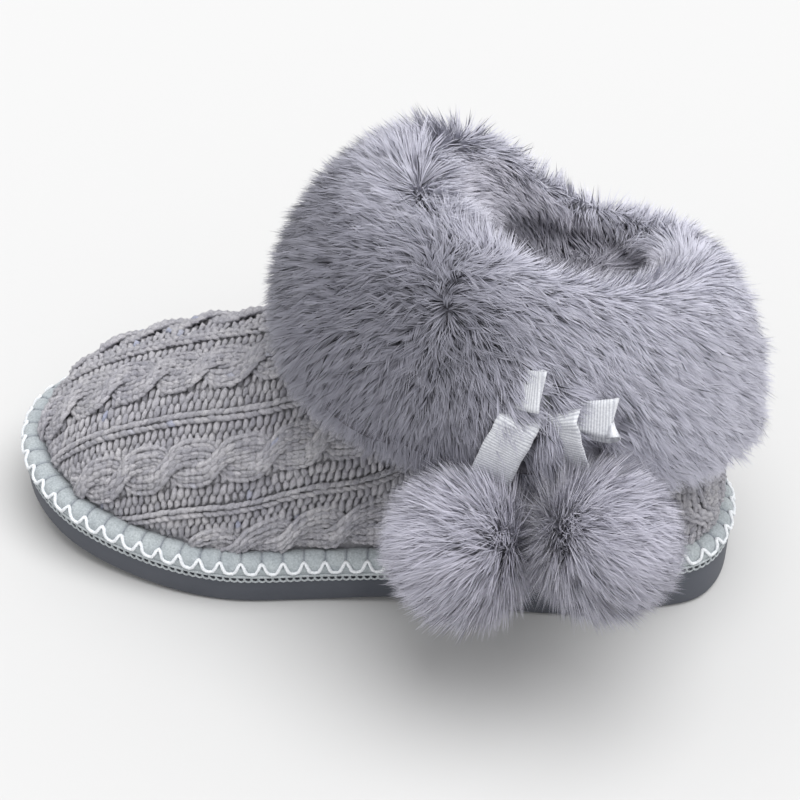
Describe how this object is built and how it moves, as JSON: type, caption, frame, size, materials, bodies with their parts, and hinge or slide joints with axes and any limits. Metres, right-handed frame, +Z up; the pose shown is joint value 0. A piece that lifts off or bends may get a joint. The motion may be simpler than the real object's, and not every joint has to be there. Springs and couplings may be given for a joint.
{
  "type": "knit slipper",
  "caption": "Soft bootie slipper with a hollow knitted upper, folded fur cuff, padded edge band, ribbon bow with fur balls and a moulded outsole.",
  "frame": {"origin": "on the floor, at the flat rest under the middle of the heel", "axes": "-X runs forward to the toe, -Y to the outer side of the foot, +Z up"},
  "size_m": [0.2704, 0.1749, 0.1734],
  "materials": {
    "sole_rubber": "matt moulded",
    "insole_fleece": "napped",
    "knit_yarn": "chunky cable knit",
    "edge_binding": "padded, white zigzag thread",
    "cuff_fur": "long soft pile",
    "ball_fur": "long soft pile",
    "ribbon": "ribbed weave with a soft sheen"
  },
  "bodies": {
    "root": {"outsole": "sole_rubber", "insole": "insole_fleece", "upper": "knit_yarn", "binding": "edge_binding", "fur_cuff": "cuff_fur", "ribbon_knot": "ribbon", "ribbon_loop_front": "ribbon", "ribbon_tail_front": "ribbon", "fur_ball_front": "ball_fur", "ribbon_loop_back": "ribbon", "ribbon_tail_back": "ribbon", "fur_ball_back": "ball_fur"}
  },
  "joints": []
}
